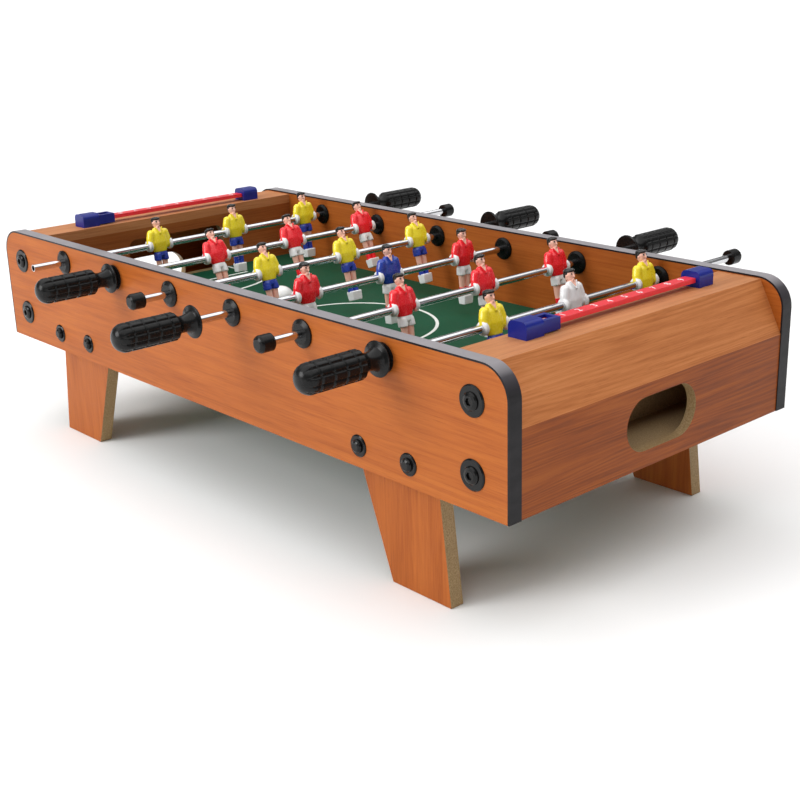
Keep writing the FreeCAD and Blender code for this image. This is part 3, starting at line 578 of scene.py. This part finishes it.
def profile_radius(profile, y):
    for (y0, r0), (y1, r1) in zip(profile, profile[1:]):
        if y <= y1:
            return r0 + (r1 - r0) * (y - y0) / (y1 - y0)
    return profile[-1][1]


def step(value, low, high):
    """Smooth rise from 0 at low to 1 at high."""
    t = min(1.0, max(0.0, (value - low) / (high - low)))
    return t * t * (3 - 2 * t)


def handle_radius(y, angle):
    """Profile radius, lowered in the grooves between the grip's blocks."""
    r = profile_radius(HANDLE_PROFILE, y)
    turn = angle / (2 * math.pi) * GRIP_COLUMNS
    across = abs(turn - math.floor(turn) - 0.5) * 2 * math.pi * GRIP_RADIUS / GRIP_COLUMNS
    side_gap = step(across, 2.75, 3.15)
    if GRIP_START <= y <= GRIP_END:
        away = min(abs(y - middle) for middle in RING_MIDDLES)
        groove = max(side_gap, 1.0 - step(away, 0.5, 0.9))
        crown = BLOCK_CROWN * (across / 3.2) ** 2
        return r + 0.1 - crown - GROOVE_DEPTH * groove
    if y > GRIP_END:
        fade = min(1.0, r / 11.0) * step(HANDLE_LENGTH - y, 2.0, 6.0)
        return r - END_GROOVE_DEPTH * side_gap * fade
    return r


def handle_rows():
    """Distances from the flange at which the handle's skin has a ring of points."""
    rows = [y for y, _ in HANDLE_PROFILE if y < GRIP_START]
    steps = int((GRIP_END - GRIP_START) / GRIP_ROW_STEP)
    rows += [GRIP_START + GRIP_ROW_STEP * i for i in range(steps + 1)]
    rows += [64.5, 65.3, 66.1, 66.9, 67.7, 68.5, 69.1, 69.7, 70.2, 70.6, 70.9, HANDLE_LENGTH]
    return sorted(set(round(y, 3) for y in rows))


def handle(number):
    """Flange on the table's side, domed end away from it."""
    node = f"rod_{number}_handle"
    low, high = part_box(node)
    far = low[1] > 0
    flange = low[1] if far else high[1]
    place = (Matrix.Translation(((low[0] + high[0]) / 2, flange, (low[2] + high[2]) / 2))
             @ Matrix.Rotation(0 if far else math.pi, 4, "Z") @ Matrix.Scale(MM, 4))
    bm = bmesh.new()
    add_lathe(bm, handle_rows(), HANDLE_POINTS, handle_radius)
    piece(f"rod_{number}_handle_grip", to_mesh(bm, node, place), "handle",
          f"rod_{number}_team", (node,))


for rod_number in range(1, 7):
    players(rod_number)
    handle(rod_number)


# Field markings: thin printed strips on the board

FIELD_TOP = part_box("playfield")[1][2]
LINE_WIDTH = 3.0
LINE_LOW, LINE_HIGH = 0.02, 0.14
CIRCLE_MIDDLE = -5.0
CIRCLE_RADIUS = 79.6
SPOT_RADIUS = 4.0
HALFWAY_REACH = 146.0
GOAL_LINE, BOX_BACK, BOX_FRONT, BOX_REACH = 284.0, 282.0, 246.0, 60.0
GOAL_ARC_RADIUS, GOAL_ARC_HALF_ANGLE = 96.0, 58


def strip(bm, path, closed=False):
    """Flat strip with a small thickness along a path of (x, y) points."""
    count = len(path)
    rows = []
    for i, (x, y) in enumerate(path):
        before = path[i - 1] if i or closed else path[i]
        after = path[(i + 1) % count] if i + 1 < count or closed else path[i]
        direction = Vector((after[0] - before[0], after[1] - before[1], 0)).normalized()
        side = Vector((-direction.y, direction.x, 0)) * LINE_WIDTH / 2
        rows.append([bm.verts.new(Vector((x, y, z)) + side * s)
                     for s, z in ((-1, LINE_LOW), (1, LINE_LOW), (1, LINE_HIGH), (-1, LINE_HIGH))])
    pairs = list(zip(rows, rows[1:])) + ([(rows[-1], rows[0])] if closed else [])
    for first, second in pairs:
        for j in range(4):
            k = (j + 1) % 4
            bm.faces.new((first[j], first[k], second[k], second[j]))
    if not closed:
        bm.faces.new(rows[0])
        bm.faces.new(rows[-1][::-1])


def arc(cx, cy, radius, start, end, steps):
    """Points along an arc between two angles in degrees."""
    return [(cx + radius * math.cos(math.radians(start + (end - start) * i / steps)),
             cy + radius * math.sin(math.radians(start + (end - start) * i / steps)))
            for i in range(steps + 1)]


markings = bmesh.new()
strip(markings, arc(0, CIRCLE_MIDDLE, CIRCLE_RADIUS, 0, 360, 120)[:-1], True)
strip(markings, [(0, -HALFWAY_REACH), (0, HALFWAY_REACH)])
strip(markings, arc(0, CIRCLE_MIDDLE, SPOT_RADIUS, 0, 360, 24)[:-1], True)
for end in (-1, 1):
    inward = 90 + 90 * end
    strip(markings, arc(GOAL_LINE * end, 0, GOAL_ARC_RADIUS, inward - GOAL_ARC_HALF_ANGLE,
                        inward + GOAL_ARC_HALF_ANGLE, 50))
    strip(markings, [(BOX_BACK * end, -BOX_REACH), (BOX_FRONT * end, -BOX_REACH),
                     (BOX_FRONT * end, BOX_REACH), (BOX_BACK * end, BOX_REACH)])
field_lines = piece("field_lines", to_mesh(
    markings, "field_lines", Matrix.Translation((0, 0, FIELD_TOP)) @ Matrix.Scale(MM, 4)),
    "line", "table")
flat_shaded(field_lines)


# Scorer numbers


DIGIT_SIZE = 8.5
DIGIT_HALF_HEIGHT = 0.06
DIGIT_PITCH = 17.2
FIRST_DIGIT = -77.4
DIGIT_LIFT = 0.05


def numerals(end):
    """Digits 0 to 9 in a row along one scorer rail."""
    low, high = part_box(f"scorer_rail_{end}")
    sign = -1 if end == "left" else 1
    bm = bmesh.new()
    for i in range(10):
        text = bpy.data.curves.new(f"digit_{end}_{i}", "FONT")
        text.body = str(i)
        text.align_x = "CENTER"
        text.align_y = "CENTER"
        text.size = DIGIT_SIZE
        text.extrude = DIGIT_HALF_HEIGHT
        holder = bpy.data.objects.new(f"digit_holder_{end}_{i}", text)
        bpy.context.scene.collection.objects.link(holder)
        bpy.context.view_layer.update()
        graph = bpy.context.evaluated_depsgraph_get()
        mesh = bpy.data.meshes.new_from_object(holder.evaluated_get(graph))
        y = (low[1] + high[1]) / 2 + (DIGIT_PITCH * i + FIRST_DIGIT) * MM * sign
        place = (Matrix.Translation(((low[0] + high[0]) / 2, y, high[2] + DIGIT_LIFT * MM))
                 @ Matrix.Rotation(math.pi / 2 * sign, 4, "Z") @ Matrix.Scale(MM, 4))
        mesh.transform(place)
        bm.from_mesh(mesh)
        bpy.data.objects.remove(holder)
    mesh = bpy.data.meshes.new(f"scorer_numbers_{end}")
    bm.to_mesh(mesh)
    bm.free()
    flat_shaded(piece(f"scorer_numbers_{end}", mesh, "numeral", "table"))


numerals("left")
numerals("right")


# Stage and light


FLOOR_REACH = 28.0
FLOOR_DEPTH = 0.0004


def floor():
    """Large pale floor, a hair below the feet."""
    bm = bmesh.new()
    corners = [bm.verts.new((x * FLOOR_REACH, y * FLOOR_REACH, -FLOOR_DEPTH))
               for x, y in ((-1, -1), (1, -1), (1, 1), (-1, 1))]
    bm.faces.new(corners)
    bmesh.ops.subdivide_edges(bm, edges=bm.edges, cuts=4, use_grid_fill=True)
    mesh = to_mesh(bm, "floor")
    material, tree, shader = new_material("floor")
    cloud = noise(tree, object_coords(tree), 3.0)
    tree.links.new(ramp(tree, cloud, [(0.3, (0.93, 0.93, 0.93)), (0.7, (0.95, 0.95, 0.95))]),
                   shader.inputs["Base Color"])
    shader.inputs["Roughness"].default_value = 0.9
    shader.inputs["Specular IOR Level"].default_value = 0.1
    mesh.materials.append(material)
    made = bpy.data.objects.new("floor", mesh)
    bpy.context.scene.collection.objects.link(made)


def area_light(name, place, target, size, power):
    data = bpy.data.lights.new(name, "AREA")
    data.shape = "DISK"
    data.size = size
    data.energy = power
    lamp = bpy.data.objects.new(name, data)
    bpy.context.scene.collection.objects.link(lamp)
    lamp.location = place
    lamp.rotation_euler = (Vector(target) - Vector(place)).to_track_quat("-Z", "Y").to_euler()


floor()
world = bpy.data.worlds.new("studio")
bpy.context.scene.world = world
world.use_nodes = True
sky = world.node_tree
direction = add(sky, "ShaderNodeTexCoord").outputs["Generated"]
height = add(sky, "ShaderNodeSeparateXYZ", {"Vector": direction}).outputs["Z"]
# Bright near the horizon and overhead, dark between, so that black parts stay black.
sky_bands = [(0.0, 1.0), (0.05, 0.95), (0.12, 0.12), (0.56, 0.12), (0.70, 0.95), (0.8, 1.0)]
sky.links.new(ramp(sky, height, [(level, (value, value, value)) for level, value in sky_bands]),
              sky.nodes["Background"].inputs["Color"])
sky.nodes["Background"].inputs["Strength"].default_value = 1.78
area_light("key", (-0.7, -2.2, 1.2), (0, 0, 0.12), 1.3, 34.0)
